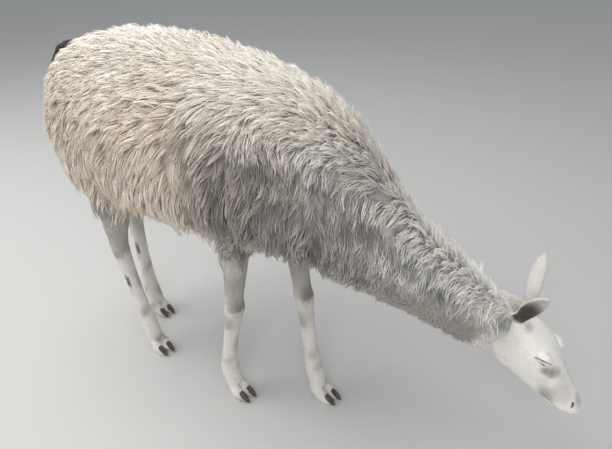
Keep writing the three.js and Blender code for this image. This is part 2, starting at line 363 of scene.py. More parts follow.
def faceMarks(points, normals, owners):
    # grey and brown on the face: painted shade under the lashes, partly tear staining, at the ear's
    # root, on the side of the muzzle, on the ears and under the head; grey on the lower cheek and the
    # tip of the nose, and dirt on the chin
    ash = np.zeros(len(points))
    umber = np.zeros(len(points))
    near = onFace(owners)
    if not near.any():
        return ash, umber
    spots, facing = headFrame(points[near], normals[near])
    blots = blobNoise(points[near], 0.03, 7)
    # random pale grey blots over the face, which the spots below darken in places
    shade = 0.08 + 0.16 * softStep(0.1, 0.7, blots)
    dark = faceDark(spots, facing, owners[near])
    for place, reach, grey, brown in faceSpots:
        gap = np.linalg.norm(folded(spots) - np.array(place), axis=1)
        share = 1 - softStep(0.1, 1.0, gap / reach + 0.2 * blots)
        shade = np.maximum(shade, grey * share)
        dark = np.maximum(dark, brown * share)
    # painted shade on the ears
    shade = np.maximum(shade, 0.48 * named(owners[near], "ear"))
    # painted shade under the head, where it faces down
    ash[near] = np.maximum(shade, 0.35 * softStep(0.3, 0.9, -facing[:, 2]))
    umber[near] = dark
    return ash, umber


def onFace(owners):
    return np.isin(owners, ("head", "lower_jaw", "ear_right", "ear_left", "eye_right", "eye_left"))


earShape = {
    "length": 0.162,
    "ear_right": ((0.003, -0.035, 0.021), (-0.27, -0.17, 0.94), (0.29, -0.95, -0.04)),
    "ear_left": ((0.004, 0.036, 0.027), (-0.62, 0.58, 0.52), (0.55, 0.80, -0.30)),
}

nostril = {
    "place": (0.301, 0.026, 0.002),
    "faces": (0.28, 0.60, 0.75),
    "along": (0.62, 0.35, -0.62),
    "length": 0.0125,
    "width": 0.0060,
    "depth": 0.009,
    "fineReach": 0.020,
}

mouth = {
    "place": (0.150, 0.0, -0.077),
    "upward": (-0.17, 0.0, 0.985),
    "from": 0.215,
    "groove": 0.0035,
    "depth": 0.003,
    "fineReach": 0.007,
}


def nostrilShare(spots):
    # 1 in the middle of a nostril, 0 outside it, however deep the point lies
    gap = folded(spots) - np.array(nostril["place"])
    outward = unit(np.array(nostril["faces"]))
    along = across(np.array(nostril["along"]), outward)
    forth = gap @ along
    aside = gap @ np.cross(along, outward)
    aside = aside + 0.35 * forth ** 2 / nostril["length"]
    gone = np.hypot(forth / nostril["length"], aside / nostril["width"])
    share = 1 - softStep(0.35, 1.1, gone)
    return share * (np.abs(gap @ outward) < 0.022)


def mouthShare(spots):
    height = (spots - np.array(mouth["place"])) @ unit(np.array(mouth["upward"]))
    front = softStep(mouth["from"], mouth["from"] + 0.03, spots[:, 0])
    return front * (1 - softStep(0.2, 1.0, np.abs(height) / mouth["groove"]))


def faceDark(spots, facing, owners):
    # dark skin round the lids; painted shade in the nostrils and the line of the mouth; the hollows of
    # the ears, partly dark brown skin and partly painted shade
    dark = np.maximum(0.95 * nostrilShare(spots), 0.75 * mouthShare(spots))
    for side in sides:
        centre, fissure, crosswise, outward = eyeAxes(side)
        gap = spots - centre
        along, aside = gap @ fissure, gap @ crosswise
        below = (-aside - lidEdge(along, False)) * 0.6
        beyond = np.where(aside > 0, aside - lidEdge(along, True), below)
        ends = softStep(1.35, 1.0, np.abs(along) / eyeShape["halfLength"])
        ring = softStep(0.0026, 0.0012, beyond) * ends * (gap @ outward > 0.004)
        dark = np.maximum(dark, 0.85 * ring)
    for name in ("ear_right", "ear_left"):
        root, points, hollow = (np.array(v) for v in earShape[name])
        points = unit(points)
        hollow = across(hollow, points)
        share = (spots - root) @ points / earShape["length"]
        inside = softStep(0.35, 0.75, facing @ hollow) * softStep(0.0, 0.10, share)
        inside *= owners == name
        dark = np.maximum(dark, inside * (0.96 - 0.80 * softStep(0.38, 0.80, share)))
    return dark


def coatColorNodes(tree):
    parts = addNode(tree, "ShaderNodeSeparateColor", {"Color": attribute(tree, "marks", "Color")})
    # a random change in the fawn's strength, not shade from light
    shade = spread(tree, noiseAt(tree, 6.0, 4.0), 0.3, 0.7, 0.6, 1.25)
    inputs = {0: parts.outputs["Red"], 1: shade}
    fawn = addNode(tree, "ShaderNodeMath", inputs, operation="MULTIPLY", use_clamp=True)
    color = mixColors(tree, fawn.outputs[0], coatColors["cream"], coatColors["fawn"])
    color = mixColors(tree, parts.outputs["Green"], color, coatColors["ash"])
    return mixColors(tree, parts.outputs["Blue"], color, coatColors["umber"])


def floorMaterial():
    material, tree, shader = newMaterial("paleFloor", {"Roughness": 0.8})
    tint = spread(tree, noiseAt(tree, 3.0), 0.2, 0.8, 0.0, 0.05)
    color = mixColors(tree, tint, studio["floorColor"], studio["floorTint"])
    tree.links.new(color, shader.inputs["Base Color"])
    return material


def fleeceMaterial(name="fleece", rootShade=0.56, toneRange=(0.62, 1.18)):
    finish = {
        "Roughness": 0.8,
        "Specular IOR Level": 0.15,
        "Sheen Weight": 0.3,
        "Sheen Roughness": 0.5,
    }
    material, tree, shader = newMaterial(name, finish)
    color = coatColorNodes(tree)
    # painted shade towards the strands' roots, and the strands' lightness, which is random and holds
    # painted shade between parted locks
    depth = spread(tree, attribute(tree, "along"), 0.0, 0.65, rootShade, 1.0)
    light = spread(tree, attribute(tree, "tone"), 0.0, 1.0, *toneRange)
    tree.links.new(shaded(tree, color, depth, light), shader.inputs["Base Color"])
    return material


def skinMaterial():
    # short fur: fine streaks that follow the head, and run down the legs
    finish = {"Roughness": 0.8, "Specular IOR Level": 0.2, "Sheen Weight": 0.2}
    material, tree, shader = newMaterial("shortFur", finish)
    color = coatColorNodes(tree)
    place = addNode(tree, "ShaderNodeTexCoord").outputs["Object"]
    turn = [math.radians(headPlace[key]) for key in ("roll", "pitch", "yaw")]
    inputs = {"Vector": place, "Rotation": turn, "Scale": (6.0, 1.0, 1.0)}
    onHead = addNode(tree, "ShaderNodeMapping", inputs, vector_type="TEXTURE")
    onLegs = addNode(tree, "ShaderNodeMapping", {"Vector": place, "Scale": (1.0, 1.0, 0.18)})
    inputs = {4: onLegs.outputs["Vector"], 5: onHead.outputs["Vector"]}
    inputs[0] = attribute(tree, "marks", "Alpha")
    spot = addNode(tree, "ShaderNodeMix", inputs, data_type="VECTOR").outputs[1]
    streaks = noiseOn(tree, spot, 520.0, 3.0, 0.6)
    locks = noiseOn(tree, spot, 170.0, 2.0, 0.5)
    mottle = spread(tree, streaks, 0.3, 0.7, 0.88, 1.05)
    # painted shade on the skin deep under the wool
    shade = spread(tree, attribute(tree, "deep"), 0.0, 1.0, 1.0, 0.55)
    tree.links.new(shaded(tree, color, mottle, shade), shader.inputs["Base Color"])
    coarse = addNode(tree, "ShaderNodeBump", {"Height": locks, "Strength": 0.35, "Distance": 0.002})
    inputs = {"Height": streaks, "Strength": 0.55, "Distance": 0.0012}
    inputs["Normal"] = coarse.outputs["Normal"]
    fine = addNode(tree, "ShaderNodeBump", inputs)
    tree.links.new(fine.outputs["Normal"], shader.inputs["Normal"])
    return material


def hornMaterial():
    material, tree, shader = newMaterial("horn", {"Roughness": 0.42})
    grain = noiseAt(tree, 220.0, 3.0, (0.25, 1, 1))
    share = spread(tree, grain, 0.3, 0.7)
    color = mixColors(tree, share, (0.028, 0.024, 0.021, 1), (0.12, 0.10, 0.085, 1))
    tree.links.new(color, shader.inputs["Base Color"])
    bump = addNode(tree, "ShaderNodeBump", {"Height": grain, "Strength": 0.3, "Distance": 0.0008})
    tree.links.new(bump.outputs["Normal"], shader.inputs["Normal"])
    return material


# one skin in place of the flesh
skinShape = {
    "voxel": 0.0035,
    "quickScale": 1.6,
    "fineFrontOf": 0.70,
    "fineBelow": 0.16,
    "coarseShare": 0.16,
    "woolDepth": 0.004,
    "smoothRounds": 14,
    "sinkSteps": 4,
    "sole": 0.0035,
}

# how far the skin lies under the outline, in metres
coatDepth = {
    "trunk": 0.026,
    "neck": 0.016,
    "head": 0.0018,
    "lower_jaw": 0.0018,
    "ear": 0.0008,
    "tail": 0.019,
    "leg_upper": 0.006,
    "leg_lower": 0.003,
    "foot": 0.001,
}

headPlace = {
    "origin": (0.785, 0.197, 0.507),
    "pitch": 48.0,
    "yaw": 8.0,
    "roll": 9.0,
}


def headMatrix():
    turn = Matrix.Rotation(math.radians(headPlace["yaw"]), 4, "Z")
    turn = turn @ Matrix.Rotation(math.radians(headPlace["pitch"]), 4, "Y")
    turn = turn @ Matrix.Rotation(math.radians(headPlace["roll"]), 4, "X")
    return Matrix.Translation(Vector(headPlace["origin"])) @ turn


def depthOf(name):
    for key, depth in coatDepth.items():
        words = key.split("_") if key.startswith("leg") else [key]
        if all(word in name for word in words):
            return depth
    return 0.0


def joinedFlesh():
    flesh = [name for name in nodes if not name.startswith(("nail", "eye"))]
    bm = bmesh.new()
    for name in flesh + ["eye_" + side for side in sides]:
        bm.from_mesh(nodes[name].data)
    bmesh.ops.remove_doubles(bm, verts=bm.verts, dist=1e-6)
    return flesh, bm


def applied(piece):
    graph = bpy.context.evaluated_depsgraph_get()
    mesh = bpy.data.meshes.new_from_object(piece.evaluated_get(graph))
    piece.modifiers.clear()
    old = piece.data
    piece.data = mesh
    bpy.data.meshes.remove(old)


def readValues(items, field, width, kind=float):
    values = np.zeros(len(items) * width, kind)
    items.foreach_get(field, values)
    return values.reshape(-1, width)


def readMesh(mesh):
    return readValues(mesh.vertices, "co", 3), readValues(mesh.edges, "vertices", 2, int)


def movePoints(piece, places):
    piece.data.vertices.foreach_set("co", places.ravel())
    piece.data.update()


def addValues(mesh, title, kind, field, values):
    mesh.attributes.new(title, kind, "POINT").data.foreach_set(field, values.ravel())


def vertexNormals(mesh):
    mesh.update()
    return readValues(mesh.vertices, "normal", 3)


def relaxed(values, edges, rounds, share=0.5):
    count = np.bincount(edges.ravel(), minlength=len(values))[:, None]
    values = np.array(values, float).reshape(len(values), -1)
    share = np.broadcast_to(np.asarray(share, float).reshape(-1, 1), (len(values), 1))
    for _ in range(rounds):
        total = np.zeros_like(values)
        for column in range(values.shape[1]):
            total[:, column] = np.bincount(edges[:, 0], values[edges[:, 1], column], len(values))
            total[:, column] += np.bincount(edges[:, 1], values[edges[:, 0], column], len(values))
        values = values + (total / np.maximum(count, 1) - values) * share
    return values


def nearestNodes(points):
    # the name of the CAD node nearest to each point
    places, faces, owners = [], [], []
    for name, piece in nodes.items():
        start = len(places)
        places += [v.co.copy() for v in piece.data.vertices]
        for face in piece.data.polygons:
            faces.append([start + i for i in face.vertices])
            owners.append(name)
    tree = BVHTree.FromPolygons(places, faces)
    return np.array([owners[tree.find_nearest(Vector(p))[2]] for p in points])


def makeSkin():
    flesh, bm = joinedFlesh()
    piece = toObject("skin", bm, skinMaterial())
    remesh = piece.modifiers.new("remesh", "REMESH")
    remesh.mode = "VOXEL"
    remesh.voxel_size = skinShape["voxel"] * 1.0
    applied(piece)
    places, _ = readMesh(piece.data)
    fine = (places[:, 0] > skinShape["fineFrontOf"]) | (places[:, 2] < skinShape["fineBelow"])
    group = piece.vertex_groups.new(name="coarse")
    group.add(np.nonzero(~fine)[0].tolist(), 1.0, "REPLACE")
    thin = piece.modifiers.new("thin", "DECIMATE")
    thin.vertex_group = "coarse"
    thin.ratio = skinShape["coarseShare"]
    applied(piece)
    piece.vertex_groups.clear()
    print("skin meshed", len(piece.data.polygons))

    places, edges = readMesh(piece.data)
    depths = np.array([depthOf(name) for name in nearestNodes(places)])
    woolly = depths > skinShape["woolDepth"]
    places = relaxed(places, edges, 3, 0.4)
    places = relaxed(places, edges, skinShape["smoothRounds"], np.where(woolly, 0.5, 0.0))
    depths = relaxed(depths, edges, 40)[:, 0]
    movePoints(piece, places)
    steps = skinShape["sinkSteps"]
    for _ in range(steps):
        normals = unit(relaxed(vertexNormals(piece.data), edges, 4))
        places = places - normals * (depths / steps)[:, None]
        places = relaxed(places, edges, 1, np.where(woolly, 0.4, 0.0))
        movePoints(piece, places)
    places[places[:, 2] < skinShape["sole"], 2] = 0.0
    movePoints(piece, places)
    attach(piece, "root")
    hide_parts(*flesh)
    return piece


def paintMarks(piece, places, edges, normals, names):
    marks = markings(places, normals, names)
    woolly = np.isin(names, ("trunk", "neck")) | np.char.endswith(names, "upper")
    marks = relaxed(marks, edges, 12, woolly * 0.6)
    addValues(piece.data, "marks", "FLOAT_COLOR", "color", marks)
    # painted shade on the skin under the wool
    deep = relaxed(woolly * softStep(0.50, 0.62, places[:, 2]), edges, 4)
    addValues(piece.data, "deep", "FLOAT", "value", deep)
    return marks


# the face: eyes, lids and lashes
eyeShape = {
    "ball": 0.0196,
    "faces": (0.10, 0.93, 0.36),
    "slant": 32.0,
    "cornea": 0.22,
    "halfLength": 0.0225,
    "upperHeight": 0.0060,
    "lowerHeight": 0.0038,
    "lid": 0.0222,
    "lidReach": 0.030,
    "rimRise": 0.0012,
    "rimRadius": 0.0011,
    "socket": 0.0160,
    "fineReach": 0.034,
    # height, distance from the lid's edge, width, where it ends and starts to fade along the lid
    "fold": (0.0020, 0.0065, 0.0016, 0.026, 0.018),
    "bag": (0.0010, 0.0060, 0.0020, 0.024, 0.014),
}


def eyeAxes(side):
    # the eye's centre, its fissure, the way across it and the way that it looks, in the head's frame
    mirror = np.array((1, -1 if side == "right" else 1, 1))
    centre, _ = headFrame(nodeCentre("eye_" + side), up)
    outward = unit(np.array(eyeShape["faces"]) * mirror)
    level = across(np.array((1.0, 0, 0)), outward)
    rise = np.cross(level, outward)
    rise = rise * np.sign(rise[2])
    slant = math.radians(eyeShape["slant"])
    fissure = level * math.cos(slant) + rise * math.sin(slant)
    crosswise = rise * math.cos(slant) - level * math.sin(slant)
    return centre, fissure, crosswise, outward


def lidEdge(along, upper):
    # how far the lid's edge stands from the fissure's middle line
    rest = np.clip(1 - (along / eyeShape["halfLength"]) ** 2, 0, 1)
    return (eyeShape["upperHeight"] if upper else eyeShape["lowerHeight"]) * rest ** 0.8


def crease(along, beyond, height, middle, width, end, start):
    # a soft line at one distance from the lid's edge, which fades towards the corners
    return height * np.exp(-((beyond - middle) / width) ** 2) * softStep(end, start, np.abs(along))


def setLids(spots, side):
    # the lids stand over the eyeball and leave the fissure open
    centre, fissure, crosswise, outward = eyeAxes(side)
    gap = spots - centre
    along, aside, out = gap @ fissure, gap @ crosswise, gap @ outward
    radius = np.linalg.norm(gap, axis=1)
    reach = np.hypot(along, aside)
    front = (out > 0.002) & (radius < 0.045)
    over = aside > 0
    beyond = np.abs(aside) - np.where(over, lidEdge(along, True), lidEdge(along, False))
    inside = front & (beyond < 0) & (np.abs(along) < eyeShape["halfLength"])
    lid = front & ~inside & (reach < eyeShape["lidReach"])
    rim = eyeShape["lid"] + eyeShape["rimRise"] * (1 - softStep(0.0, 0.003, beyond))
    fold = crease(along, beyond, *eyeShape["fold"])
    bag = crease(along, beyond, *eyeShape["bag"])
    blend = 1 - softStep(0.020, eyeShape["lidReach"], reach)
    raised = np.maximum(radius, rim * blend) - np.where(over, fold, bag)
    wanted = np.where(inside, eyeShape["socket"], np.where(lid, raised, radius))
    return centre + gap * (wanted / np.maximum(radius, 1e-6))[:, None]


def refineFace(piece):
    # smaller faces round the eyes, nostrils and mouth
    turn = headMatrix().inverted()
    x, y, z = nostril["place"]
    spots = [(Vector(eyeAxes(side)[0]), eyeShape["fineReach"]) for side in sides]
    spots += [(Vector((x, sign * y, z)), nostril["fineReach"]) for sign in (1, -1)]
    mouthPlace = Vector(mouth["place"])
    mouthUp = Vector(mouth["upward"]).normalized()
    bm = bmesh.new()
    bm.from_mesh(piece.data)
    for _ in range(2):
        chosen = []
        for edge in bm.edges:
            middle = turn @ ((edge.verts[0].co + edge.verts[1].co) / 2)
            if middle.x < 0.08 or abs(middle.y) > 0.09:
                continue
            height = abs((middle - mouthPlace).dot(mouthUp))
            lips = middle.x > mouth["from"] - 0.01 and height < mouth["fineReach"]
            if lips or any((middle - spot).length < reach for spot, reach in spots):
                chosen.append(edge)
        bmesh.ops.subdivide_edges(bm, edges=chosen, cuts=1, use_grid_fill=True)
    bmesh.ops.triangulate(bm, faces=[face for face in bm.faces if len(face.verts) > 4])
    bm.to_mesh(piece.data)
    bm.free()
    piece.data.shade_smooth()


def sculptFace(piece):
    refineFace(piece)
    places, edges = readMesh(piece.data)
    spots, normals = headFrame(places, vertexNormals(piece.data))
    middle = np.array((0.16, 0, -0.03))
    nearFace = (np.linalg.norm(spots - middle, axis=1) < 0.24) & (spots[:, 0] > 0.06)
    chosen = np.nonzero(nearFace)[0]
    local = spots[chosen]
    facing = normals[chosen]
    local = local - facing * (nostrilShare(local) * nostril["depth"])[:, None]
    local = local - facing * (mouthShare(local) * mouth["depth"])[:, None]
    for side in sides:
        local = setLids(local, side)
    spots[chosen] = local
    calm = np.zeros(len(places))
    calm[chosen] = 0.35
    movePoints(piece, relaxed(fromHead(spots), edges, 2, calm))


def eyeMaterial():
    finish = {"Roughness": 0.07, "Coat Weight": 0.6, "Coat Roughness": 0.03}
    material, tree, shader = newMaterial("darkEye", finish)
    share = spread(tree, noiseAt(tree, 160.0), 0.3, 0.7)
    color = mixColors(tree, share, (0.006, 0.004, 0.003, 1), (0.030, 0.016, 0.008, 1))
    tree.links.new(color, shader.inputs["Base Color"])
    return material


def rimMaterial():
    material, tree, shader = newMaterial("lidSkin", {"Roughness": 0.45})
    grain = noiseAt(tree, 900.0)
    color = mixColors(tree, grain, (0.020, 0.016, 0.015, 1), (0.060, 0.048, 0.045, 1))
    tree.links.new(color, shader.inputs["Base Color"])
    return material


lashes = {
    "count": 110,
    "length": 0.0125,
    "width": 0.0009,
    "seed": 3,
}


def makeEyeball(side, material):
    centre, _, _, outward = eyeAxes(side)
    bm = bmesh.new()
    bmesh.ops.create_uvsphere(bm, u_segments=40, v_segments=24, radius=eyeShape["ball"])
    for vert in bm.verts:
        bulge = max(0.0, Vector(outward).dot(vert.co.normalized()) - 0.75)
        vert.co *= 1 + eyeShape["cornea"] * bulge
    place = headMatrix() @ Matrix.Translation(Vector(centre))
    bmesh.ops.transform(bm, matrix=place, verts=bm.verts)
    ball = toObject("eyeball_" + side, bm, material)
    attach(ball, "root")
    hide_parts("eye_" + side)


def makeLidRim(side, material):
    # a dark tube along the edges of both lids
    centre, fissure, crosswise, outward = eyeAxes(side)
    loop = []
    for angle in np.linspace(0, 2 * math.pi, 44, endpoint=False):
        along = math.cos(angle) * eyeShape["halfLength"]
        upper = math.sin(angle) > 0
        aside = float(lidEdge(np.array(along), upper)) * (1 if upper else -1)
        out = math.sqrt(max(eyeShape["lid"] ** 2 - along ** 2 - aside ** 2, 1e-8))
        loop.append(Vector(fromHead(centre + fissure * along + crosswise * aside + outward * out)))
    curve = bpy.data.curves.new("lidRim_" + side, "CURVE")
    curve.dimensions = "3D"
    curve.bevel_depth = eyeShape["rimRadius"]
    curve.bevel_resolution = 2
    spline = curve.splines.new("POLY")
    spline.points.add(len(loop) - 1)
    for point, spot in zip(spline.points, loop):
        point.co = (*spot, 1)
    spline.use_cyclic_u = True
    holder = placed("holder", curve)
    graph = bpy.context.evaluated_depsgraph_get()
    mesh = bpy.data.meshes.new_from_object(holder.evaluated_get(graph))
    bpy.data.objects.remove(holder)
    bm = bmesh.new()
    bm.from_mesh(mesh)
    rim = toObject("lidRim_" + side, bm, material)
    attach(rim, "root")


def makeEyes():
    wet, rimSkin = eyeMaterial(), rimMaterial()
    # the lashes carry a slight painted shade at their roots
    pale = fleeceMaterial("lashes", 0.95)
    for side in sides:
        makeEyeball(side, wet)
        makeLidRim(side, rimSkin)
        makeLashes(side, pale)


def makeLashes(side, material):
    # long pale lashes fall from the upper lid over the eye
    rng = np.random.default_rng(lashes["seed"])
    centre, fissure, crosswise, outward = eyeAxes(side)
    half = eyeShape["halfLength"]
    count = lashes["count"]
    along = rng.uniform(-0.92, 0.96, count) * half
    aside = lidEdge(along, True) + rng.uniform(-0.0004, 0.0012, count)
    out = np.sqrt(np.maximum((eyeShape["lid"] + 0.0006) ** 2 - along ** 2 - aside ** 2, 1e-8))
    root = centre + np.outer(along, fissure) + np.outer(aside, crosswise) + np.outer(out, outward)
    fan = np.outer(along / half, fissure) * 0.45
    first = unit(outward * 0.9 - crosswise * 0.25 + fan + rng.normal(0, 0.10, (count, 3)))
    last = unit(outward * 0.45 - crosswise * 1.0 + fan + rng.normal(0, 0.10, (count, 3)))
    length = lashes["length"] * rng.uniform(0.75, 1.15, count)
    line = np.zeros((count, 5, 3))
    for step, share in enumerate(np.linspace(0, 1, 5)):
        way = first * share * (1 - share / 2) + last * share ** 2 / 2
        line[:, step] = root + way * length[:, None]
    line = fromHead(line)
    face = np.broadcast_to(headTurn() @ outward, line.shape)
    patch = np.stack((0.1 + 0.8 * (along / half + 1) / 2, rng.uniform(0.1, 0.9, count)), axis=1)
    marks = np.tile((0.0, 0.0, 0.0, 1.0), (count, 1))
    width = lashes["width"] * rng.uniform(0.7, 1.2, count)
    tone = rng.uniform(0.5, 1.0, count)
    piece = strandMesh("lashes_" + side, line, face, patch, width, tone, marks, material)


# the long coat, in locks of thin strands round one wide strand
fleece = {
    "locks": 7320,
    "quickShare": 0.4,
    "strandsPerLock": 8,
    "lockWidth": 0.018,
    "strandWidth": 0.0029,
    "bodyWidth": 0.0125,
    "flat": 0.5,
    "clumpSize": 11,
    "mostStrands": 8800,
    "steps": 5,
    "hang": 0.75,
    "sink": 0.003,
    "waves": 0.85,
    "stray": 0.005,
    "napeBefore": 0.004,
    "frontLegAbove": 0.61,
    "hindLegAbove": 0.565,
    "bellyShare": 0.6,
    "tailShare": 3.0,
    "napeShare": 1.7,
    "seed": 11,
}

# the growth of any lock
growth = {
    "lengthRange": (0.75, 1.2),
    "liftRange": (0.6, 1.2),
    "standRange": (0.0, 1.0),
    "keepsWay": 0.45,
    "keepsFacing": 0.35,
    "gathers": 0.78,
    "thickness": 0.42,
    "curledFrom": 0.05,
    "looseFrom": 0.03,
    "slimmerForward": 0.38,
}

# lightness of the strands, 0 to 1, random from lock to lock, and the painted shade and dark gaps
# between parted locks
coatTone = {
    "middle": 0.62,
    "lockSpread": 0.16,
    "strandSpread": 0.12,
    "closed": 0.75,
    "closedShare": 0.6,
    "shade": 0.24,
    "gapSize": 0.030,
    "gapStretch": (1.0, 1.0, 0.22),
    "gapShade": 0.4,
    # umber painted into the gaps as shade
    "gapShadeUmber": 0.34,
}

coatLie = {
    "neckSide": (-0.42, 0.90, 0.0),
    "neckAxis": (0.80, 0.38, -0.46),
    "tail": (-0.55, 0.0, -1.0),
}


def lieOfCoat(points, normals, owners):
    # the way that the hair points, before it is laid along the skin
    x, _, z = points.T
    height = softStep(0.74, 1.16, z)
    fore = softStep(-0.22, 0.24, x)
    back = between(0.24 + 0.95 * height, 0.14, fore)
    back = between(back, 0.1, softStep(-0.74, -0.90, x))
    down = between(1.0 - 0.45 * height, 1.0, fore)
    neckSide = np.array(coatLie["neckSide"])
    neckAxis = np.array(coatLie["neckAxis"])
    neck = fore[:, None]
    above = np.sum(unit(between(up, np.cross(neckAxis, neckSide), neck)) * normals, axis=1)
    crest = softStep(0.55, 0.95, above)
    lean = normals @ neckSide + 0.35 * blobNoise(points, 0.05, 2)
    outward = np.clip(lean / 0.45, -1, 1) * crest * (0.35 + 0.9 * fore)
    way = -back[:, None] * np.array((1.0, 0, 0)) - down[:, None] * up
    way = way + outward[:, None] * between(np.array((0, 1.0, 0)), neckSide, neck)
    # on the crest and the underside of the neck it points away from the head
    under = softStep(0.35, 0.8, -normals[:, 2]) * fore
    top = softStep(0.60, 0.90, above) * softStep(-0.14, 0.08, x)
    way = way + (down * top)[:, None] * up - 0.8 * neckAxis * top[:, None]
    way = between(way, -neckAxis, under[:, None])
    way[owners == "tail"] = np.array(coatLie["tail"])
    swirl = np.stack([blobNoise(points, 0.11, seed) for seed in (3, 4, 5)], axis=1)
    calm = np.where(named(owners, "leg"), 0.25, 0.5)
    return way + calm[:, None] * swirl


def throatShare(points, normals):
    # the underside of the neck towards the jaw has short smooth hair
    return softStep(0.34, 0.60, points[:, 0]) * softStep(0.32, -0.12, normals[:, 2])


def shagShare(points, normals):
    # 1 where the locks are long and parted: shoulders, chest and the sides of the neck
    side = softStep(0.90, 0.40, np.abs(normals[:, 2]))
    return softStep(-0.30, 0.05, points[:, 0]) * side * (1 - throatShare(points, normals))


def partedShade(points, normals):
    # where painted shade shows between the parted locks
    return shagShare(points, normals) * softStep(-0.18, 0.12, points[:, 0])


lockSizes = {
    "back": 0.070,
    "longerBelow": 0.055,
    "neck": 0.055,
    "crest": 0.046,
    "mane": 0.066,
    "tail": 0.085,
    "throat": 0.024,
    "nape": 0.034,
}


def lockLength(points, normals, owners):
    x, _, z = points.T
    length = lockSizes["back"] + lockSizes["longerBelow"] * softStep(1.08, 0.72, z)
    length = between(length, lockSizes["neck"], softStep(0.25, 0.75, x))
    crest = softStep(0.4, 0.9, normals[:, 2]) * softStep(0.15, 0.35, x)
    length = between(length, lockSizes["crest"], crest)
    under = softStep(0.3, 0.8, -normals[:, 2])
    length = length * (1 - 0.45 * under)
    length = length * (1 - 0.5 * under * softStep(0.35, 0.6, x))
    length = length * (1 - 0.25 * softStep(-0.70, -0.88, x))
    mane = softStep(0.40, 0.60, x) * softStep(0.85, 0.45, np.abs(normals[:, 2]))
    length = between(length, lockSizes["mane"], mane)
    length = np.where(owners == "tail", lockSizes["tail"], length)
    elbow = softStep(0.0, -0.5, normals[:, 0]) * softStep(0.76, 0.68, z) * (np.abs(x) < 0.12)
    length = length * (1 - 0.6 * elbow)
    length = between(length, lockSizes["throat"], throatShare(points, normals))
    onLeg = length * (0.14 + 0.70 * softStep(0.56, 0.78, z))
    length = np.where(named(owners, "leg"), onLeg, length)
    return np.where(owners == "head", lockSizes["nape"], length)


def marchGuides(roots, normals, rooted, tree, options):
    # one line for each lock, laid along the skin, with the way that the skin faces under it
    lie, steps = options["lie"], options["steps"]
    guide = np.zeros((len(roots), steps, 3))
    outward = np.zeros((len(roots), steps, 3))
    guide[:, 0] = roots
    outward[:, 0] = normals
    here, facing = roots.copy(), normals.copy()
    pace = (options["length"] / (steps - 1))[:, None]
    way = across(lie(here, facing, rooted), facing)
    for step in range(1, steps):
        ahead = here + way * pace
        landed, turned = ahead.copy(), facing.copy()
        for i, spot in enumerate(ahead):
            landed[i], turned[i], _, _ = tree.find_nearest(Vector(spot))
        free = (options["hang"] * softStep(-0.25, -0.7, turned[:, 2]))[:, None]
        landed = between(landed, here * 0.8 + ahead * 0.2 - up * pace * 0.8, free)
        turned = unit(between(turned, facing, free))
        facing = unit(between(turned, facing, growth["keepsFacing"]))
        here = landed
        if step < steps - 1:
            way = across(between(lie(here, facing, rooted), way, growth["keepsWay"]), facing)
        guide[:, step] = here
        outward[:, step] = facing
    guide[:, 1:-1] = guide[:, 1:-1] / 2 + (guide[:, :-2] + guide[:, 2:]) / 4
    return guide, outward


def gatherClumps(guide, options, rng):
    # neighbouring locks lean together, which opens dark gaps between the clumps
    count, steps, _ = guide.shape
    share = np.linspace(0, 1, steps)
    heads = rng.choice(count, max(1, count // options["clumpSize"]), replace=False)
    finder = KDTree(len(heads))
    for i, head in enumerate(heads):
        finder.insert(Vector(guide[head, 0]), i)
    finder.balance()
    mine = heads[[finder.find(Vector(spot))[1] for spot in guide[:, 0]]]
    heading = unit(guide[:, 1] - guide[:, 0])
    gap = guide[mine, 0] - guide[:, 0]
    aside = gap - heading * np.sum(gap * heading, axis=1, keepdims=True)
    pull = options["pull"][:, None] * (share ** 1.1)[None, :]
    height = (1 + options["parting"] * rng.uniform(-0.6, 0.4, count)[mine]) * options["lift"]
    return guide + aside[:, None, :] * pull[..., None], height


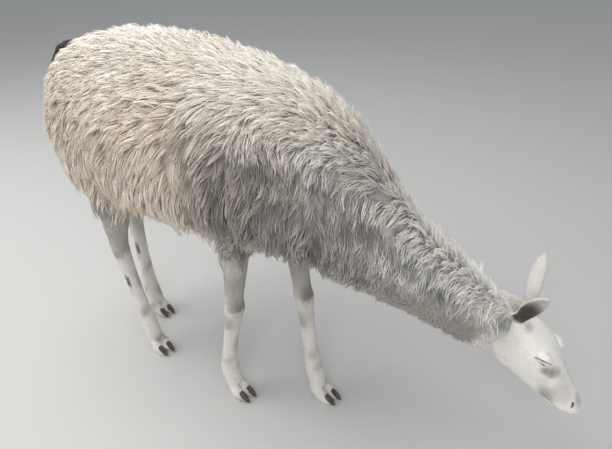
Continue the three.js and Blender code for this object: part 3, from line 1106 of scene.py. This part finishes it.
def growStrands(roots, normals, rooted, tree, options, rng):
    # the strands of a lock start round its guide and draw together towards its tip
    length = options["length"]
    count = len(roots)
    share = np.linspace(0, 1, options["steps"])
    guide, outward = marchGuides(roots, normals, rooted, tree, options)
    height = options["lift"]
    if options["clumpSize"]:
        guide, height = gatherClumps(guide, options, rng)
    rise = np.interp(share, (0, 0.3, 0.7, 1), (0.0, 0.75, 1.0, 0.8))[None, :]
    rise = rise + options["stand"][:, None] * (share ** 2)[None, :]
    guide = guide + outward * (height[:, None] * rise)[..., None]

    each = options["strandsPerLock"]
    total = count * each
    owner = np.repeat(np.arange(count), each)
    line = guide[owner]
    face = outward[owner]
    side = unit(np.cross(unit(np.gradient(line, axis=1)), face))
    angle = rng.uniform(0, 2 * math.pi, total)
    reach = np.sqrt(rng.uniform(0, 1, total)) * options["lockWidth"]
    reach = reach * rng.uniform(0.6, 1.35, count)[owner]
    gather = 1 - growth["gathers"] * softStep(0.1, 1.0, share)[None, :]
    gather = gather + rng.uniform(-0.1, 0.3, (total, 1)) * share[None, :]
    phase = (rng.uniform(0, 2 * math.pi, count)[owner] + rng.normal(0, 0.5, total))[:, None]
    phase = phase + 2 * math.pi * options["waves"] * share[None, :]
    size = options["wave"] * np.minimum(1, length / growth["curledFrom"]) * rng.uniform(0.4, 1.4, count)
    size = size[owner][:, None] * (share ** 0.8)[None, :]
    stray = rng.normal(0, options["stray"], (2, total, 1)) * (share ** 1.5)[None, None, :]
    if each > 1:
        # short locks keep closer together
        calm = np.minimum(1, length / growth["looseFrom"])[owner]
        stray *= calm[None, :, None]
        reach *= calm
    # the first strand of a lock is wide and stands in its middle, which closes the coat
    body = (np.arange(total) % each == 0) & (each > 1)
    reach[body] *= 0.1
    stray[:, body] = 0
    sideways = (reach * np.cos(angle))[:, None] * gather + np.sin(phase) * size + stray[0]
    outwards = (reach * np.sin(angle) * growth["thickness"])[:, None] * gather
    outwards = outwards + np.cos(phase) * size * 0.5 + stray[1] * 0.6
    start = line[:, :1]
    line = start + (line - start) * rng.uniform(0.7, 1.08, total)[:, None, None]
    outwards[body] -= options["sink"]
    line = line + side * sideways[..., None] + face * outwards[..., None]
    return line, face, owner, body


def strandFaces(rings, tip):
    # the triangles of one closed three-sided strand, whose last point is its tip
    shape = []
    for ring in range(rings - 1):
        for corner in range(3):
            a = ring * 3 + corner
            b = ring * 3 + (corner + 1) % 3
            shape += [(a, a + 3, b), (b, a + 3, b + 3)]
    last = (rings - 1) * 3
    shape += [(last + corner, tip, last + (corner + 1) % 3) for corner in range(3)]
    return np.array(shape + [(0, 1, 2)])


def strandMesh(name, line, face, patch, width, tone, marks, material, flat=0.7, bright=0.0):
    # each strand is a closed three-sided taper: rings, then a point
    total, steps, _ = line.shape
    rings = steps - 1
    heading = unit(np.gradient(line, axis=1))
    side = unit(np.cross(heading, face))
    out = unit(np.cross(side, heading))
    share = np.linspace(0, 1, steps)
    thick = np.interp(share, (0, 0.35, 0.75, 1), (0.45, 1.0, 0.72, 0.05))
    places = []
    spots = []
    for ring in range(rings):
        radius = (width * thick[ring] / 2)[:, None]
        for corner in range(3):
            turn = math.radians(90 + 120 * corner)
            offset = side[:, ring] * math.cos(turn) + out[:, ring] * math.sin(turn) * flat
            places.append(line[:, ring] + offset * radius)
            spots.append(((corner - 1) * 0.001, share[ring] * 0.003 - 0.0015))
    points = np.stack(places + [line[:, -1]], axis=1)
    points[..., 2] = np.maximum(points[..., 2], 0.0)
    spots = np.array(spots + [(0.0, 0.0015)])
    each = points.shape[1]
    faces = strandFaces(rings, each - 1)[None] + (np.arange(total) * each)[:, None, None]
    faces = faces.reshape(-1, 3)

    mesh = bpy.data.meshes.new(name)
    mesh.vertices.add(total * each)
    mesh.vertices.foreach_set("co", points.ravel())
    mesh.loops.add(len(faces) * 3)
    mesh.loops.foreach_set("vertex_index", faces.ravel())
    mesh.polygons.add(len(faces))
    mesh.polygons.foreach_set("loop_start", np.arange(len(faces)) * 3)
    mesh.update(calc_edges=True)
    mesh.shade_smooth()
    layer = mesh.uv_layers.new(name="OFBake")
    spot = patch[:, None, :] + spots[None]
    layer.data.foreach_set("uv", spot.reshape(-1, 2)[faces.ravel()].ravel())
    # along runs from root to tip and sets the painted shade at the roots; bright takes some of it back
    along = np.tile([share[min(i // 3, steps - 1)] for i in range(each)], (total, 1))
    along = along + (1 - along) * np.broadcast_to(bright, total)[:, None]
    addValues(mesh, "along", "FLOAT", "value", along)
    addValues(mesh, "tone", "FLOAT", "value", np.repeat(tone, each))
    addValues(mesh, "marks", "FLOAT_COLOR", "color", np.repeat(marks, each, axis=0))
    mesh.materials.append(material)
    piece = placed(name, mesh)
    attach(piece, "root")
    print(name, len(faces), "triangles")
    return piece


def skinPatch(places, triangles, chosen):
    # a part of the skin with its own unwrap
    used, packed = np.unique(triangles[chosen], return_inverse=True)
    mesh = bpy.data.meshes.new("patch")
    mesh.from_pydata(places[used].tolist(), [], packed.reshape(-1, 3).tolist())
    patch = placed("patch", mesh)
    bpy.context.view_layer.objects.active = patch
    patch.select_set(True)
    bpy.ops.object.mode_set(mode="EDIT")
    bpy.ops.mesh.select_all(action="SELECT")
    bpy.ops.uv.smart_project(angle_limit=math.radians(70), island_margin=0.004)
    bpy.ops.object.mode_set(mode="OBJECT")
    spots = readValues(mesh.uv_layers.active.data, "uv", 2)
    bpy.data.objects.remove(patch)
    bpy.data.meshes.remove(mesh)
    return 0.01 + 0.98 * spots.reshape(-1, 3, 2)


def walkOrder(points, cell):
    # numbers small cubes so that neighbours in number are neighbours in space
    steps = ((points - points.min(axis=0)) / cell).astype(np.int64)
    code = np.zeros(len(points), np.int64)
    for bit in range(8):
        for axis in range(3):
            code |= ((steps[:, axis] >> bit) & 1) << (3 * bit + axis)
    return np.argsort(code, kind="stable")


def scatter(places, triangles, weights, count, rng):
    # evenly spread roots on the triangles, more where the weight is high
    a, b, c = (places[triangles[:, i]] for i in range(3))
    order = walkOrder((a + b + c) / 3, 0.008)
    ahead = np.cumsum((areasOf(places, triangles) * weights)[order])
    stops = (np.arange(count) + rng.uniform(0, 1, count)) / count * ahead[-1]
    pick = order[np.clip(np.searchsorted(ahead, stops), 0, len(order) - 1)]
    u, v = rng.uniform(0, 1, (2, count))
    fold = u + v > 1
    u[fold], v[fold] = 1 - u[fold], 1 - v[fold]
    share = np.stack((1 - u - v, u, v), axis=1)
    return pick, share


def blended(share, corners):
    # one value for each root from the values at the corners of its triangle
    return np.einsum("ij,ijk->ik", share, corners)


def skinArrays(piece):
    mesh = piece.data
    mesh.calc_loop_triangles()
    triangles = readValues(mesh.loop_triangles, "vertices", 3, int)
    return *readMesh(mesh), triangles, vertexNormals(mesh)


def plant(name, skinData, tree, chosen, weight, count, options, rng, material):
    # grows one coat piece on the chosen triangles of the skin
    places, triangles, normals, names, painted = skinData
    pick, share = scatter(places, triangles[chosen], weight[chosen], count, rng)
    unwrap = skinPatch(places, triangles, chosen)
    corners = triangles[chosen[pick]]
    roots = blended(share, places[corners])
    outs = unit(blended(share, normals[corners]))
    rooted = names[corners[:, 0]]
    options = {**options, **options["local"](roots, outs, rooted)}
    for key in ("length", "lift", "stand"):
        options[key] = options[key] * rng.uniform(*growth[key + "Range"], count)
    line, face, owner, body = growStrands(roots, outs, rooted, tree, options, rng)
    jitter = rng.uniform(-0.003, 0.003, (len(owner), 2))
    patch = np.clip(blended(share, unwrap[pick])[owner] + jitter, 0.004, 0.996)
    marks = blended(share, painted[corners])[owner]
    # painted shade: parted locks are darker, with a few dark gaps of painted umber shade between them
    shag = partedShade(roots, outs) * (options["strandsPerLock"] > 1)
    blots = blobNoise(roots * np.array(coatTone["gapStretch"]), coatTone["gapSize"], 12)
    gaps = softStep(0.10, 0.40, blots) * shag
    marks[:, 2] = np.maximum(marks[:, 2], coatTone["gapShadeUmber"] * gaps[owner])
    shade = shag * (coatTone["shade"] - 0.12 * softStep(0.3, 0.5, roots[:, 0]))
    tone = rng.normal(coatTone["middle"], coatTone["lockSpread"], count)
    tone = tone - shade - coatTone["gapShade"] * gaps
    tone = np.clip(tone[owner] + rng.normal(0, coatTone["strandSpread"], len(owner)), 0, 1)
    tone = np.where(body, np.broadcast_to(options["bodyTone"], count)[owner], tone)
    # where the wool lies closed the painted shade is taken back towards an even tone
    bright = np.broadcast_to(options["bright"], count)[owner]
    tone = tone + (coatTone["closed"] - tone) * bright * coatTone["closedShare"]
    width = np.where(body, options["bodyWidth"], options["strandWidth"])
    width = width * rng.uniform(0.6, 1.25, len(owner))
    width = width * (1 - growth["slimmerForward"] * softStep(0.52, 0.76, roots[:, 0]))[owner]
    piece = strandMesh(name, line, face, patch, width, tone, marks, material, options["flat"], bright)


def triangleData(skinData):
    places, triangles, normals, names, _ = skinData
    middle = places[triangles].mean(axis=1)
    facing = unit(normals[triangles].mean(axis=1))
    inHead, _ = headFrame(middle, facing)
    return middle, facing, names[triangles[:, 0]], inHead


def fleeceHere(roots, outs, rooted):
    # what changes over the body: the locks' length, lift, wave, gathering and painted shade
    x, _, z = roots.T
    facingUp = outs[:, 2]
    throat = throatShare(roots, outs)
    shag = shagShare(roots, outs)
    parted = partedShade(roots, outs)
    top = softStep(0.30, 0.80, facingUp)
    lift = between(0.020 + 0.007 * top, 0.013 + 0.012 * top, softStep(0.1, 0.4, x))
    lift = lift * (1 - 0.4 * softStep(0.66, 0.80, x)) * (1 - 0.7 * throat)
    lift = np.where(named(rooted, "leg"), 0.0015 + 0.007 * softStep(0.54, 0.68, z), lift)
    lift = np.where(np.isin(rooted, ("tail", "head")), 0.005, lift)
    # painted shade at the roots: less where the wool faces up and where it lies closed, more between
    # parted locks
    side = 0.10 + 0.42 * softStep(-0.65, -0.30, x) - 0.85 * parted
    top = softStep(0.35, 0.80, facingUp)
    return {
        "length": lockLength(roots, outs, rooted),
        "lift": lift,
        "stand": 0.15 + 1.1 * (softStep(0.4, 0.9, facingUp) * softStep(0.1, 0.35, x)),
        "wave": 0.0032 + 0.0036 * softStep(0.0, 0.3, x) * (1 - throat),
        "pull": 0.30 - 0.18 * softStep(0.45, 0.85, facingUp) + 0.34 * shag,
        "parting": 0.7 - 0.58 * top + 0.45 * shag,
        # the wide middle strands are painted darker between parted locks
        "bodyTone": 0.62 - 0.60 * parted,
        "bright": 0.62 * top + (1 - top) * side,
    }


def areasOf(places, triangles):
    a, b, c = (places[triangles[:, i]] for i in range(3))
    return np.linalg.norm(np.cross(b - a, c - a), axis=1) / 2


def onBelly(x, facing):
    return (facing[:, 2] < -0.6) & (x < 0.34)


def onRight(x, facing):
    return facing[:, 1] - 0.45 * softStep(0.2, 0.5, x) * facing[:, 0] < 0


# what one piece leaves is taken by the next
fleeceBands = {
    "fleece_belly": onBelly,
    "fleece_right": onRight,
    "fleece_left": lambda x, facing: x < 9,
}


def makeFleece(skinData, tree):
    places, triangles = skinData[:2]
    middle, facing, owners, inHead = triangleData(skinData)
    x, _, z = middle.T
    nape = (owners == "head") & (inHead[:, 0] < fleece["napeBefore"])
    above = np.where(named(owners, "leg_front"), fleece["frontLegAbove"], fleece["hindLegAbove"])
    thigh = np.char.endswith(owners, "upper") & (z > above)
    isFleece = np.isin(owners, ("trunk", "neck", "tail")) | nape | thigh
    areas = areasOf(places, triangles)
    weight = areas / np.maximum(lockLength(middle, facing, owners), 0.036)
    weight = weight * np.where(onBelly(x, facing), fleece["bellyShare"], 1.0)
    weight = weight * (1 + 0.40 * softStep(-0.10, 0.08, x) + 0.35 * softStep(0.5, 0.7, x))
    weight = weight * np.where(nape, fleece["napeShare"], 1.0)
    weight = weight * np.where(owners == "tail", fleece["tailShare"], 1.0)
    locks = fleece["locks"] * 1.0
    density = locks / weight[isFleece].sum()
    options = {**fleece, "lie": lieOfCoat, "local": fleeceHere}
    material = fleeceMaterial()
    rng = np.random.default_rng(fleece["seed"])
    left = isFleece.copy()
    for band, inside in fleeceBands.items():
        chosen = np.nonzero(left & inside(x, facing))[0]
        left[chosen] = False
        chosen = chosen[np.argsort(x[chosen])]
        ahead = np.cumsum(weight[chosen]) * density
        parts = math.ceil(ahead[-1] * fleece["strandsPerLock"] / fleece["mostStrands"])
        for part in range(parts):
            low, high = ahead[-1] * part / parts, ahead[-1] * (part + 1) / parts
            mine = chosen[(ahead > low) & (ahead <= high)]
            title = f"{band}_{part + 1}"
            count = int(ahead[-1] / parts)
            plant(title, skinData, tree, mine, weight / areas, count, options, rng, material)


# the fur of the head, the ears and the legs
shortFur = {
    "face": {"count": 8500, "length": 0.009, "strandWidth": 0.0010, "lift": 0.0006, "slot": "face"},
    "ears": {"count": 2600, "length": 0.010, "strandWidth": 0.0010, "lift": 0.0006, "slot": "face"},
    "legs": {"count": 6500, "length": 0.015, "strandWidth": 0.0016, "lift": 0.0008, "slot": "leg"},
    "seed": 23,
}

# here each lock is one straight hair
shortStrands = {
    "steps": 3,
    "stand": 0.5,
    "hang": 0.0,
    "strandsPerLock": 1,
    "lockWidth": 0.0,
    "bodyWidth": 0.0,
    "flat": 0.32,
    "sink": 0.0,
    "wave": 0.0,
    "waves": 0.0,
    "strayShare": 0.10,
    "clumpSize": 0,
    "bodyTone": 0.0,
    "bright": 0.0,
}


def lieOfShortFur(points, normals, owners):
    # back from the nose, up the ears and down the legs
    turn = headTurn()
    way = np.tile(-up, (len(points), 1))
    way[onFace(owners)] = turn @ np.array((-1.0, 0.0, -0.35))
    for name in ("ear_right", "ear_left"):
        way[owners == name] = turn @ np.array(earShape[name][1])
    way[named(owners, "foot")] = np.array((0.7, 0.0, -0.7))
    swirl = np.stack([blobNoise(points, 0.03, seed) for seed in (8, 9, 10)], axis=1)
    return way + 0.5 * swirl


def furLength(base):
    # longer towards the wool of the upper leg
    def here(roots, _, rooted):
        longer = 1.1 * softStep(0.42, 0.58, roots[:, 2]) * named(rooted, "leg")
        return {"length": base * (1 + longer)}
    return here


def makeShortFur(skinData, tree):
    middle, _, owners, inHead = triangleData(skinData)
    ears = named(owners, "ear")
    bare = (nostrilShare(inHead) > 0.02) | (mouthShare(inHead) > 0.05)
    for side in sides:
        bare |= np.linalg.norm(inHead - eyeAxes(side)[0], axis=1) < 0.029
    zones = {
        "face": onFace(owners) & ~ears & (inHead[:, 0] > -0.012) & ~bare,
        "ears": ears,
        "legs": named(owners, "leg", "foot") & (middle[:, 2] < 0.66) & (middle[:, 2] > 0.012),
    }
    rng = np.random.default_rng(shortFur["seed"])
    material = fleeceMaterial("furTufts", 1.0, (0.96, 1.06))
    evenly = np.ones(len(middle))
    for name, zone in zones.items():
        options = {**shortStrands, **shortFur[name], "lie": lieOfShortFur}
        length, count, slot = options["length"], options["count"], options["slot"]
        options["stray"] = length * options["strayShare"]
        options["local"] = furLength(length)
        chosen = np.nonzero(zone)[0]
        plant("fur_" + name, skinData, tree, chosen, evenly, count, options, rng, material)


setCamera()
setStudio()
print("studio set")
skin = makeSkin()
sculptFace(skin)
skinPlaces, skinEdges, skinTriangles, skinNormals = skinArrays(skin)
names = nearestNodes(skinPlaces)
skinMarks = paintMarks(skin, skinPlaces, skinEdges, skinNormals, names)
makeEyes()
print("skin and eyes made")
skinData = (skinPlaces, skinTriangles, skinNormals, names, skinMarks)
skinTree = BVHTree.FromPolygons(skinPlaces.tolist(), skinTriangles.tolist())
makeFleece(skinData, skinTree)
print("fleece grown")
makeShortFur(skinData, skinTree)
print("short fur grown")
horn = hornMaterial()
for name, piece in nodes.items():
    if name.startswith("nail"):
        piece.material_slots[0].material = horn
